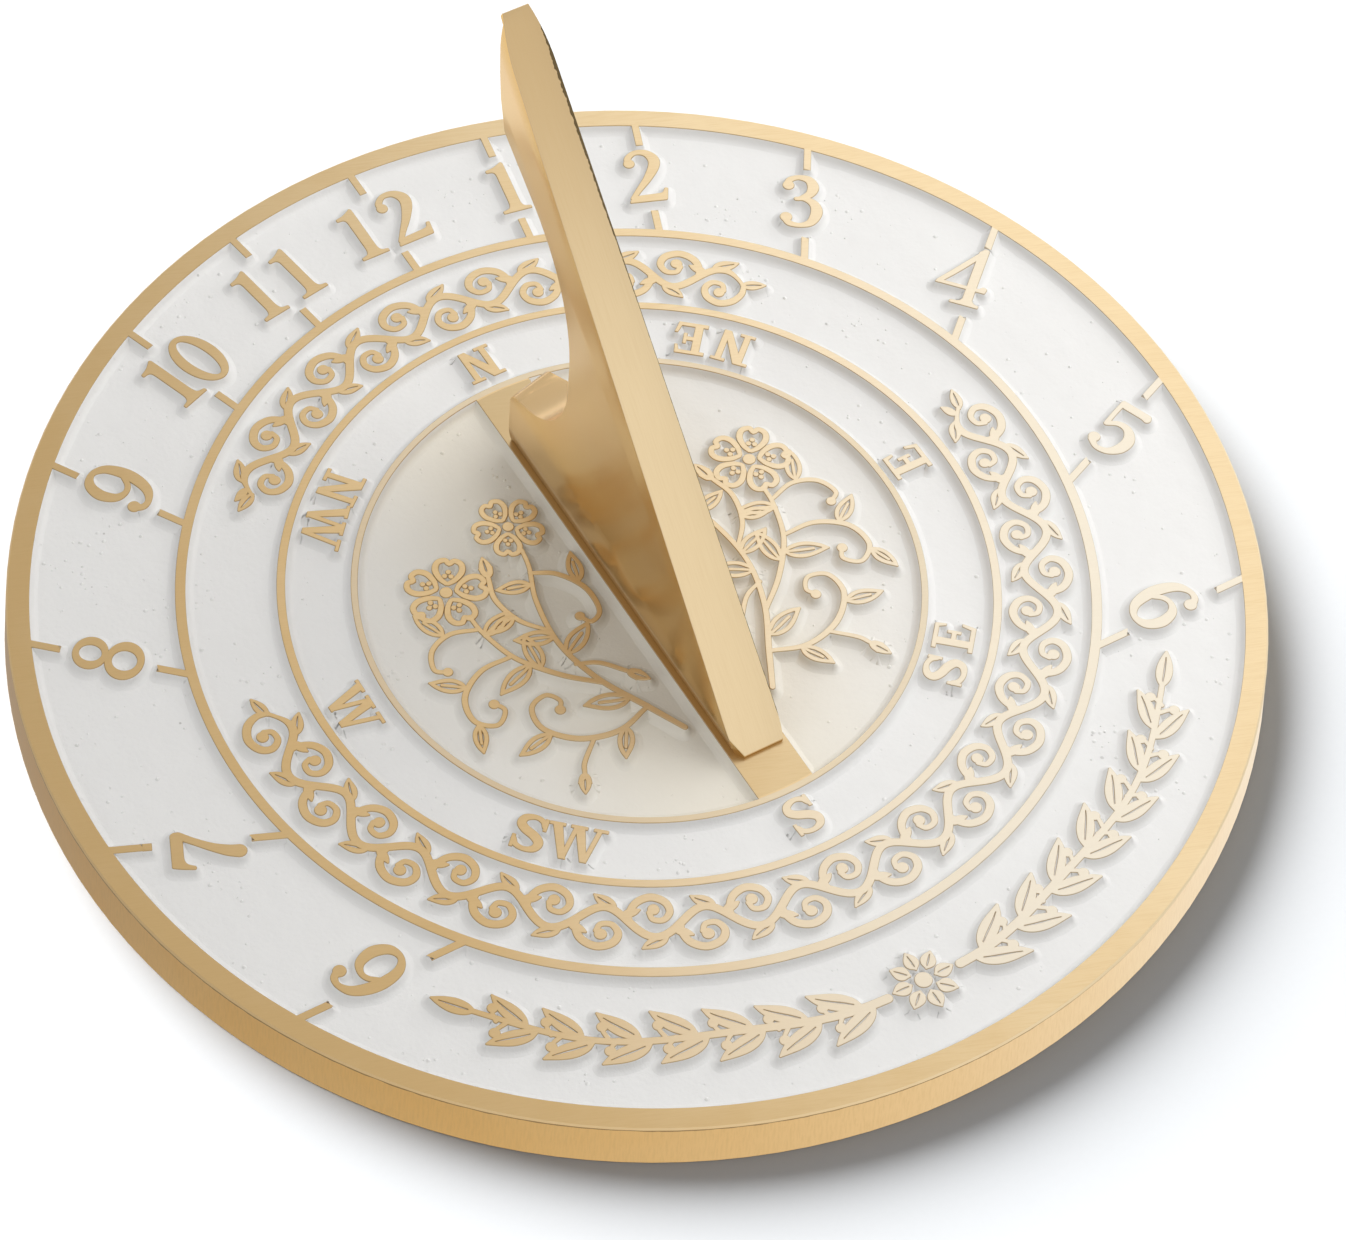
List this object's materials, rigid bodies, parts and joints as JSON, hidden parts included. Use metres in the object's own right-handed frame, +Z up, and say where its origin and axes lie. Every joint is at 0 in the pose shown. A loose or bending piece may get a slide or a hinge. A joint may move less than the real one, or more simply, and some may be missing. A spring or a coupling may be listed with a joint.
{
  "type": "horizontal garden sundial",
  "caption": "Round cast brass horizontal sundial with raised rings and hour marks, white painted fields and a sloping gnomon on a noon bar.",
  "frame": {"origin": "centre of the dial on the plane that its rim rests on", "axes": "+Z up out of the dial face, +Y north along the noon bar to the twelve o'clock mark, +X east"},
  "size_m": [0.2172, 0.2172, 0.1075],
  "materials": {
    "brass": "cast, with linished tops and a polished gnomon",
    "white_paint": "satin white paint with a light orange peel",
    "zinc_steel": "zinc plated"
  },
  "bodies": {
    "root": {"dial_plate": "brass", "gnomon": "brass", "enamel_hour_band": "white_paint", "enamel_legend_band": "white_paint", "enamel_compass_band": "white_paint", "enamel_centre_west": "white_paint", "enamel_centre_east": "white_paint", "gnomon_screw_south": "zinc_steel", "gnomon_screw_north": "zinc_steel", "washer_south": "zinc_steel", "washer_north": "zinc_steel"}
  },
  "joints": []
}
